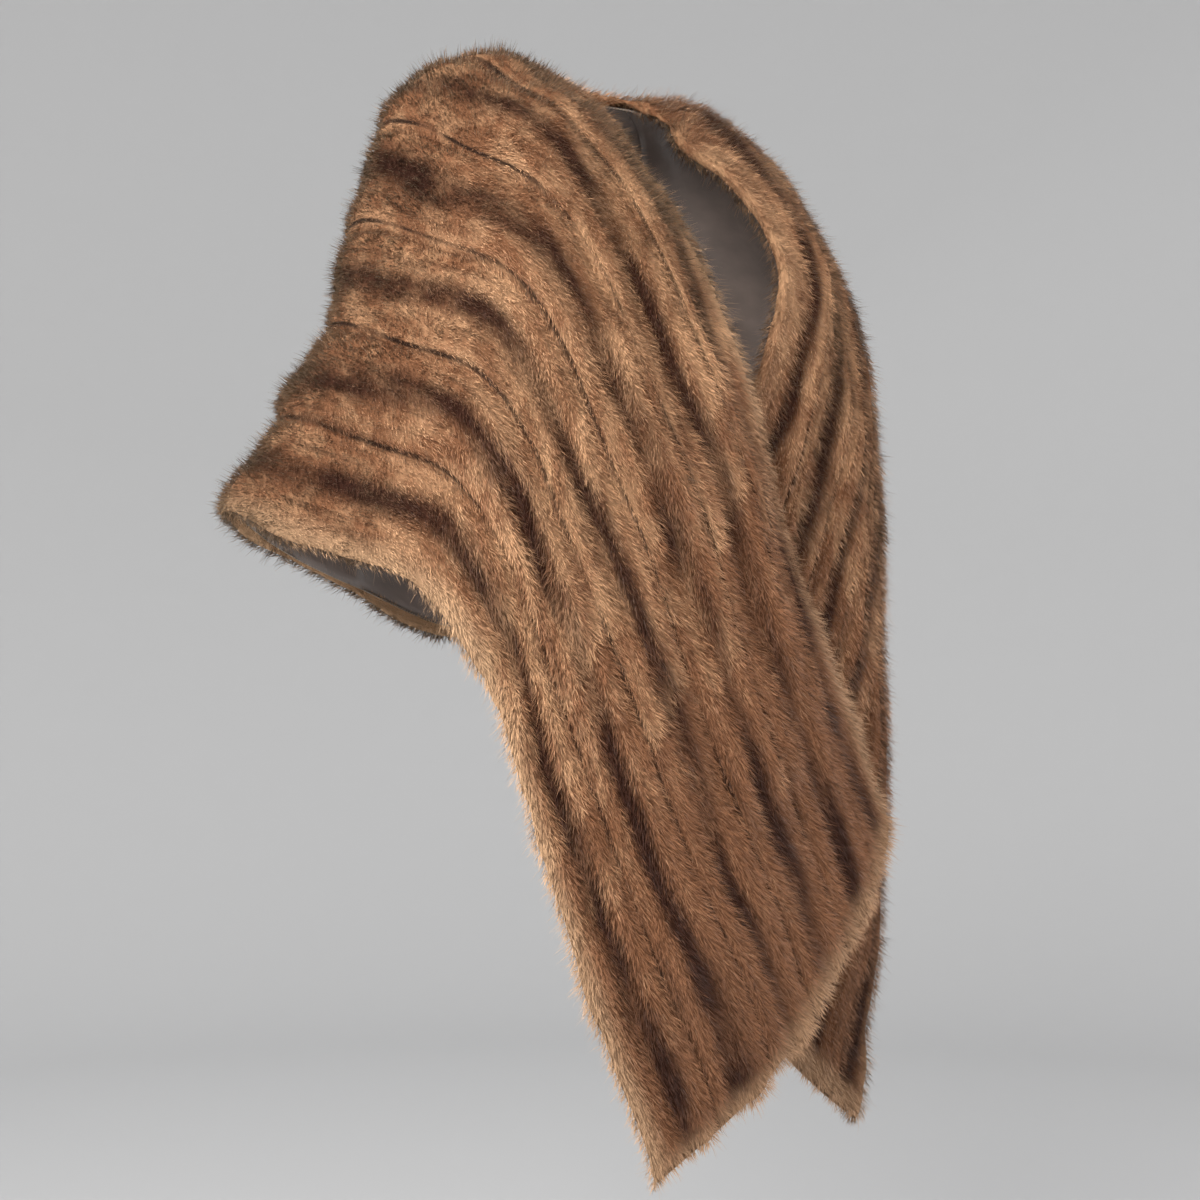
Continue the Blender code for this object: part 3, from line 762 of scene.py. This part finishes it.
def strandRoots(row, side, rng):
    # random places on one half of a row, with the surface's values there
    j0, j1 = stripBounds(row)
    middle = endRings + len(places) // 2
    i0, i1 = (middle, len(furPoints) - 1) if side > 0 else (0, middle)
    area = cellArea[i0:i1, j0:j1]
    count = int(hair["strands"] * area.sum() / cellArea.sum())
    running = np.cumsum(area.ravel()) / area.sum()
    cell = np.minimum(np.searchsorted(running, rng.random(count)), area.size - 1)
    i, j = i0 + cell // area.shape[1], j0 + cell % area.shape[1]
    fi, fj = rng.random(count), rng.random(count)
    at = {name: sampled(source, i, j, fi, fj) for name, source in furGrids.items()}
    for name in ("normal", "along", "across"):
        at[name] = unit(at[name])
    return at, count


def combed(at, count, rng):
    # the four corners of every strand: root, two sides at the bend, and tip
    rows, place, normal = at["rows"], at["place"], at["normal"]
    inStrip = rows - np.clip(np.floor(rows), 0, cut["rows"] - 1)
    start, reach, beforeLower, beforeShorter, beforeLess = hair["beforeSeam"]
    beforeSeam = easeStep((inStrip - start) / reach) * (rows < cut["rows"] - 0.5)
    start, reach, afterLower, afterShorter = hair["afterSeam"]
    afterSeam = easeStep((start - inStrip) / reach) * (rows > 0.5)
    reach, edgeLess = hair["freeEdge"]
    freeEdge = np.maximum(easeStep((reach - rows) / reach), easeStep((rows - cut["rows"] + reach) / reach))
    lessDeep, shorter, reach = hair["turned"]
    turned = np.clip(np.maximum(-rows, rows - cut["rows"]) / reach, 0, 1)
    front = onFronts(place)

    way = np.tanh(place / hair["backReach"])
    (atShoulder, atTips), (start, reach) = hair["lean"], hair["leanChange"]
    lean = atTips + (atShoulder - atTips) * (1 - easeStep((np.abs(place) - start) / reach))
    lean = lean * (1 - beforeLess * beforeSeam) * (1 - edgeLess * freeEdge)
    lean = lean + hair["leanAtBack"] * (1 - np.abs(way))
    swirl = softNoise(at["metres"], rows, hair["swirlGrain"])
    swirl = swirl + 0.5 * softNoise(at["metres"], rows, hair["fineSwirlGrain"])
    turn = hair["swirlTurn"] * swirl + hair["turn"] * rng.normal(size=count)
    flat = unit(at["along"] * way[:, None] + at["across"] * lean[:, None])
    flat = unit(flat + np.cross(normal, flat) * turn[:, None])
    sideWay = unit(np.cross(normal, flat))

    stray = rng.random(count) < hair["strayShare"] * (1 + hair["strayAtEdge"] * freeEdge)
    lifted = hair["swirlRise"] * softNoise(at["metres"], rows, hair["riseGrain"]) + hair["strayRise"] * stray
    lifted = lifted - beforeLower * beforeSeam - afterLower * afterSeam
    lifted = lifted + hair["riseOnFronts"] * front * (1 - stray)
    rise, flatten = (
        np.radians(degrees + lifted + varies * rng.normal(size=count))[:, None]
        for degrees, varies in (hair["rise"], hair["flatten"])
    )
    length = hair["length"] * (1 - shorter * turned)
    length = length * (1 - beforeShorter * beforeSeam) * (1 - afterShorter * afterSeam)
    length = length * rng.uniform(*hair["lengths"], count)
    length = length * (1 + (hair["strayLonger"] + hair["strayLongerOnFronts"] * front) * stray)
    half = 0.5 * length[:, None]
    root = at["root"] - normal * (hair["rootDepth"] * (1 - lessDeep * turned))[:, None]
    bend = root + half * (flat * np.cos(rise) + normal * np.sin(rise))
    tip = bend + half * (flat * np.cos(flatten) + normal * np.sin(flatten))
    roll = rng.normal(scale=hair["roll"], size=count)[:, None]
    wide = unit(sideWay * np.cos(roll) + normal * np.sin(roll)) * hair["width"] * 0.5
    wide = wide * (rng.uniform(*hair["widths"], count) * (1 - hair["strayThinner"] * stray))[:, None]
    return np.stack([root, bend - wide, bend + wide, tip], axis=1), unit(tip - bend), swirl


def growHair(row, side, word):
    rng = np.random.default_rng(hair["seed"] + row * 2 + (side > 0))
    at, count = strandRoots(row, side, rng)
    corners, direction, swirl = combed(at, count, rng)
    points = corners.reshape(-1, 3)
    base = 4 * np.arange(count)[:, None]
    faces = np.concatenate([base + (0, 1, 2), base + (1, 3, 2)], axis=1).reshape(-1, 3)
    # faces look the way the pile does
    a, b, c = (points[faces[:, k]] for k in range(3))
    wrong = (np.cross(b - a, c - a) * np.repeat(at["normal"], 2, axis=0)).sum(axis=1) < 0
    faces[wrong] = faces[wrong][:, ::-1]
    piece = meshFrom(f"guard_hair_{row + 1}_{word}", points, faces)
    mesh = piece.data
    lay = unit(at["normal"] - direction * (at["normal"] * direction).sum(axis=1, keepdims=True))
    lay = unit(lay + hair["softNormal"] * rng.normal(size=(count, 3)))
    lay = np.repeat(lay, 4, axis=0).astype(np.float32)
    mesh.shade_smooth()
    mesh.normals_split_custom_set_from_vertices(lay)
    mesh.attributes.new("lay", "FLOAT_VECTOR", "POINT").data.foreach_set("vector", lay.ravel())
    tone = toneOf(at["place"], at["rows"], cut[word + "Joins"][row], side)
    tone = tone + hair["toneVaries"] * rng.normal(size=count) + hair["toneSwirl"] * swirl
    addValue(mesh, "strand", np.tile(hair["strand"], count))
    addValue(mesh, "tone", np.repeat(tone, 4))
    addValue(mesh, "edge", np.repeat(edgeShare(at["rows"], at["metres"]), 4))
    shift = hair["peltShift"] * rng.normal(size=count)
    uv = np.stack([at["metres"] + shift, at["rows"] + cut["rows"] * shift], axis=1)
    addUv(mesh, "pelt", np.repeat(uv, 4, axis=0))
    # every strand has its own small cell of the map
    cells = int(math.ceil(math.sqrt(count)))
    cell = np.stack([np.arange(count) % cells, np.arange(count) // cells], axis=1)[:, None]
    kite = np.array([(0.5, 0.08), (0.12, 0.55), (0.88, 0.55), (0.5, 0.95)])
    addUv(mesh, "OFBake", ((cell + kite) / cells).reshape(-1, 2))
    mesh.materials.append(guardHairFinish)
    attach(piece, "root")
    return count


grown = sum(growHair(k, side, word) for k in range(cut["rows"]) for side, word in ((1, "right"), (-1, "left")))
print("hair grown:", grown)

liningCut = {
    "wall": 0.001,
    "inset": 0.0068,  # how far inside the fur's edge it is sewn
    "tipInset": 0.1,  # and how far inside the tips, in sections
    "columns": 61,
    "edgePoints": 300,  # points along the edging of the long edges and of an end
    "endPoints": 60,
    "edgingLift": 0.0002,  # outwards, in metres
    "lift": 0.0004,
    "mostLift": 0.0006,  # and the most of a crease
    "creaseUnit": 0.0018,  # metres inwards for one unit of a crease's height
    "creaseEnds": (3, 1.25, 4),  # how fast it starts, where and how fast it fades
    "sagAt": 2.6,  # place, reach and drop of the slack over the hem, beside the right arm
    "sagReach": 1.7,
    "sag": 0.0062,
    "sagInwards": 0.0034,
    "sagShare": (0.93, 0.06),  # share across from which it falls inwards, and over how much
}
# places along, shares across, breadth in places, height
creases = (
    (2.3, 2.7, 0.45, 1.0, 0.1, 2.0), (3.1, 3.5, 0.55, 1.0, 0.14, -2.4), (3.9, 3.6, 0.6, 1.0, 0.12, 2.6),
    (4.4, 4.6, 0.5, 1.0, 0.16, -2.0), (1.2, 1.5, 0.3, 1.0, 0.16, 1.8), (-2.6, -2.9, 0.4, 1.0, 0.14, 2.2),
    (-3.6, -3.3, 0.5, 1.0, 0.13, -2.2), (-4.3, -4.6, 0.45, 1.0, 0.15, 2.0), (0.3, 0.1, 0.2, 0.9, 0.18, 1.6),
    (-1.3, -1.1, 0.35, 1.0, 0.15, -1.8), (6.2, 6.9, 0.2, 0.8, 0.2, 1.8), (8.4, 9.0, 0.3, 0.9, 0.22, -1.8),
    (11.0, 11.8, 0.15, 0.7, 0.2, 1.6), (-6.4, -7.0, 0.25, 0.8, 0.2, 1.8),
    (-9.0, -9.6, 0.2, 0.85, 0.2, -1.8), (-12.0, -12.6, 0.2, 0.8, 0.2, 1.5), (1.75, 2.05, 0.62, 1.0, 0.09, 3.2),
    (2.95, 2.9, 0.72, 1.0, 0.12, 3.0), (1.3, 1.1, 0.66, 1.0, 0.1, 2.8), (3.5, 3.3, 0.7, 1.0, 0.1, 2.8),
    (2.4, 2.55, 0.74, 1.0, 0.07, 2.2),
)
satinLook = {
    "dark": (0.14, 0.11, 0.097),
    "light": (0.235, 0.188, 0.166),
    "threadShare": 0.12,  # how much of the relief is thread, over soft puckers
}
edging = {
    "radius": 0.0007,
    "sides": 5,
    "colour": (0.42, 0.35, 0.29),
    "stitchShadeShare": 0.45,  # painted shade between two stitches: how light it is there
    "stitch": 0.0032,  # metres from one stitch to the next
}


def hemSag(place):
    # 0 to 1 where the lining hangs slack over the hem
    return np.exp(-(((place - liningCut["sagAt"]) / liningCut["sagReach"]) ** 4))


def satinMaterial():
    material, tree, shader = newFinish("taupeSatin", 0.36, 0.55, 0.15)
    metres = peltMap(tree)
    cloud = noiseAt(tree, metres, (30, 5), 3)
    tree.links.new(mixed(tree, cloud, satinLook["dark"], satinLook["light"]), shader.inputs["Base Color"])
    thread = maths(tree, "MULTIPLY", noiseAt(tree, metres, (2600, 40)), satinLook["threadShare"])
    pucker = noiseAt(tree, metres, (90, 8))
    relieve(tree, shader, maths(tree, "ADD", thread, pucker), 0.35, 0.0015)
    return material


def edgingMaterial():
    material, tree, shader = newFinish("edgingThread", 0.6)
    parts = nodeOf(tree, "ShaderNodeSeparateXYZ")
    tree.links.new(peltMap(tree), parts.inputs[0])
    stitches = maths(tree, "MULTIPLY", parts.outputs["X"], 1 / edging["stitch"])
    twist = maths(tree, "FRACT", maths(tree, "ADD", stitches, parts.outputs["Y"]))
    away = maths(tree, "ABSOLUTE", maths(tree, "SUBTRACT", twist, 0.5))
    thread = between(tree, away, 0.05, 0.5, 1.0, 0.0)
    # painted shade in the grooves between the stitches
    dark = tuple(edging["stitchShadeShare"] * c for c in edging["colour"])
    tree.links.new(mixed(tree, thread, dark, edging["colour"]), shader.inputs["Base Color"])
    relieve(tree, shader, thread, 0.6, 0.0005)
    return material


satin = satinMaterial()
edgingFinish = edgingMaterial()


def creaseLift(place, share):
    lift = np.zeros(share.shape)
    quick, past, fade = liningCut["creaseEnds"]
    for fromPlace, toPlace, fromShare, toShare, breadth, height in creases:
        run = (share - fromShare) / (toShare - fromShare)
        ends = easeStep(run * quick) * easeStep((past - run) * fade)
        centre = fromPlace + (toPlace - fromPlace) * np.clip(run, 0, 1)
        lift -= liningCut["creaseUnit"] * height * ends * np.exp(-(((place - centre) / breadth) ** 2))
    return lift


def liningPanel(word, start, end):
    i0, i1 = (int(round((at + cut["tip"]) * cut["perSection"])) for at in sorted((start, end)))
    picked = np.arange(i0, i1 + 1)
    if word != "back":
        picked = picked[(picked % 2 == 0) | (picked == i0) | (picked == i1)]
    atNeck = liningCut["inset"] / widths[picked]
    atHem = (liningCut["inset"] - liningCut["sag"] * hemSag(places[picked])) / widths[picked]
    share = np.linspace(0, 1, liningCut["columns"])[None]
    share = atNeck[:, None] + (1 - atNeck - atHem)[:, None] * share
    base, normal = onCloth(picked[:, None], share, (cloth, clothNormal))
    place = places[picked][:, None]
    lift = liningCut["lift"] + np.minimum(creaseLift(place, share), liningCut["mostLift"])
    fallFrom, fallOver = liningCut["sagShare"]
    lift = lift - liningCut["sagInwards"] * hemSag(place) * easeStep((share - fallFrom) / fallOver)
    points = base + normal * lift[..., None]
    piece = meshFrom(f"satin_{word}", points.reshape(-1, 3), gridFaces(*share.shape, 0, True))
    metres = np.broadcast_to(alongRun[picked][:, None], share.shape)
    addUv(piece.data, "pelt", np.stack([metres, share * cut["rows"]], axis=-1).reshape(-1, 2))
    piece.data.materials.append(satin)
    piece.data.shade_smooth()
    wall = piece.modifiers.new("wall", "SOLIDIFY")
    wall.thickness = liningCut["wall"]
    wall.offset = -1
    selectOnly(piece)
    bpy.ops.object.modifier_apply(modifier="wall")
    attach(piece, "root")
    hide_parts(f"lining_{word}")


def sewnEdging(name, line):
    # a thin round cord along a line, with its ends closed
    way = unit(np.gradient(line, axis=0))
    sideOne = unit(np.cross(way, (0.3, 0.2, 1.0)))
    sideTwo = np.cross(way, sideOne)
    turns = np.radians(360 / edging["sides"] * np.arange(edging["sides"]))[None, :, None]
    out = sideOne[:, None] * np.cos(turns) + sideTwo[:, None] * np.sin(turns)
    rings = line[:, None] + edging["radius"] * out
    rings = np.concatenate([rings, rings[:, :1]], axis=1)
    rounds = np.linspace(0, 1, edging["sides"] + 1)
    uv = np.stack(np.broadcast_arrays(runAlong(line)[:, None], rounds[None]), axis=-1).reshape(-1, 2)
    piece = meshFrom(name, rings.reshape(-1, 3), gridFaces(len(line), len(rounds), 0, True))
    addUv(piece.data, "pelt", uv)
    piece.data.materials.append(edgingFinish)
    selectOnly(piece)
    bpy.ops.object.mode_set(mode="EDIT")
    bpy.ops.mesh.select_all(action="SELECT")
    bpy.ops.mesh.remove_doubles(threshold=0.00001)
    bpy.ops.mesh.select_all(action="DESELECT")
    bpy.ops.mesh.select_non_manifold()
    bpy.ops.mesh.fill()
    bpy.ops.mesh.select_all(action="SELECT")
    bpy.ops.mesh.normals_make_consistent(inside=False)
    bpy.ops.object.mode_set(mode="OBJECT")
    piece.data.shade_smooth()
    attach(piece, "root")


def clothLine(placesAt, sharesAt, lift):
    i = np.clip((np.asarray(placesAt) + cut["tip"]) * cut["perSection"], 0, len(places) - 1.001)
    j = np.clip(np.asarray(sharesAt) * lastColumn, 0, lastColumn - 0.001)
    low, left = i.astype(int), j.astype(int)
    base = sampled(cloth, low, left, i - low, j - left)
    return base + sampled(clothNormal, low, left, i - low, j - left) * np.asarray(lift).reshape(-1, 1)


def liningEdge(last):
    along = np.linspace(-last, last, liningCut["edgePoints"])
    across = np.interp(along, places, widths)
    inset = liningCut["inset"] / across
    lift = liningCut["edgingLift"]
    sewnEdging("edging_neck", clothLine(along, inset, lift))
    slack = hemSag(along)
    atHem = inset - liningCut["sag"] * slack / across
    sewnEdging("edging_hem", clothLine(along, 1 - atHem, lift - liningCut["sagInwards"] * slack))
    for side, word in ((1, "right"), (-1, "left")):
        inset = liningCut["inset"] / np.interp(side * last, places, widths)
        shares = np.linspace(inset, 1 - inset, liningCut["endPoints"])
        sewnEdging(f"edging_end_{word}", clothLine(np.full(len(shares), side * last), shares, lift))


def sewLining():
    last = cut["tip"] - liningCut["tipInset"]
    liningEdge(last)
    liningPanel("back", -cut["liningSeam"], cut["liningSeam"])
    liningPanel("right", cut["liningSeam"], last)
    liningPanel("left", -cut["liningSeam"], -last)


sewLining()
print("lining sewn in")

studio = {
    "floorZ": -1.45,
    "radius": 4.2,
    "wall": 4.0,
    "cove": 1.2,
    "coveSteps": 12,
    "turns": 96,
    "colour": (0.485, 0.49, 0.495),
    "sky": (0.82, 0.82, 0.84),
    "skyStrength": 0.49,
}
# name, place, what it is aimed at, size, watts, colour
lights = (
    ("key", (-2.7, -0.9, 1.4), (0, 0, -0.4), 1.4, 130, (1.0, 0.97, 0.93)),
    ("fill", (0.6, -3.2, 0.2), (0, 0, -0.4), 2.4, 16, (0.96, 0.97, 1.0)),
    ("right", (2.3, -2.2, 0.7), (0, 0, -0.4), 1.6, 70, (1.0, 0.97, 0.95)),
    ("rim", (1.8, 2.6, 1.6), (0, 0, -0.4), 2.0, 24, (1, 1, 1)),
    ("leftBack", (-2.9, 1.7, 0.5), (0, 0, -0.4), 1.8, 72, (1, 1, 1)),
    ("low", (-1.9, -1.5, -1.2), (0, 0, -0.5), 1.4, 7, (1.0, 0.94, 0.9)),
)
view = {
    "azimuth": -48,
    "distance": 2.0,
    "aim": (0, 0, -0.457),
    "metresPerPixel": 0.0009,  # at the wearer's neck
    "pixel": 608,  # where the neck stands in a picture this many pixels wide
    "pixels": 1200,
    "sensor": 36,
}


def roundCove():
    # a round floor that curves up into a wall
    flat = studio["radius"] - studio["cove"]
    profile = [(0.0, 0.0), (flat, 0.0)]
    for k in range(1, studio["coveSteps"] + 1):
        a = math.radians(90 * k / studio["coveSteps"])
        profile.append((flat + studio["cove"] * math.sin(a), studio["cove"] * (1 - math.cos(a))))
    profile.append((studio["radius"], studio["wall"]))
    angles = [2 * math.pi * k / studio["turns"] for k in range(studio["turns"] + 1)]
    floor = studio["floorZ"]
    points = np.array([(r * math.cos(a), r * math.sin(a), floor + z) for a in angles for r, z in profile])
    piece = meshFrom("studio_cove", points, gridFaces(len(angles), len(profile)))
    material, _, shader = newFinish("palePaper", 0.9)
    shader.inputs["Base Color"].default_value = (*studio["colour"], 1)
    piece.data.materials.append(material)
    piece.data.shade_smooth()
    piece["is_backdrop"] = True


def areaLight(name, place, target, size, energy, colour):
    data = bpy.data.lights.new(name, "AREA")
    data.shape, data.size, data.energy, data.color = "SQUARE", size, energy, colour
    light = newObject(name, data)
    light.location = place
    x, y, z = np.array(place) - np.array(target)
    light.rotation_euler = (math.atan2(math.hypot(x, y), z), 0, math.atan2(x, -y))


def openSky():
    world = bpy.data.worlds.new("studio")
    world.use_nodes = True
    background = world.node_tree.nodes["Background"]
    background.inputs[0].default_value = (*studio["sky"], 1)
    background.inputs[1].default_value = studio["skyStrength"]
    bpy.context.scene.world = world


def placeCamera():
    turn = math.radians(view["azimuth"])
    back = np.array([math.sin(turn), -math.cos(turn), 0])
    right = np.array([math.cos(turn), math.sin(turn), 0])
    camera = newObject("camera", bpy.data.cameras.new("camera"))
    shift = (view["pixel"] - view["pixels"] / 2) * view["metresPerPixel"]
    camera.location = np.array(view["aim"]) + back * view["distance"] - right * shift
    camera.rotation_euler = (math.radians(90), 0, turn)
    camera.data.sensor_width = view["sensor"]
    camera.data.lens = view["sensor"] * view["distance"] / (view["pixels"] * view["metresPerPixel"])
    bpy.context.scene.camera = camera


roundCove()
for light in lights:
    areaLight(*light)
openSky()
placeCamera()
bpy.context.scene.view_settings.view_transform = "Standard"
print("studio set up")

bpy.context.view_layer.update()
added = sum(len(piece.data.polygons) * (1 if "hair" in piece.name else 2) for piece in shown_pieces()
            if piece.name.startswith(("guard_hair", "underfur", "satin", "edging")))
print("scene ready, triangles about", added)
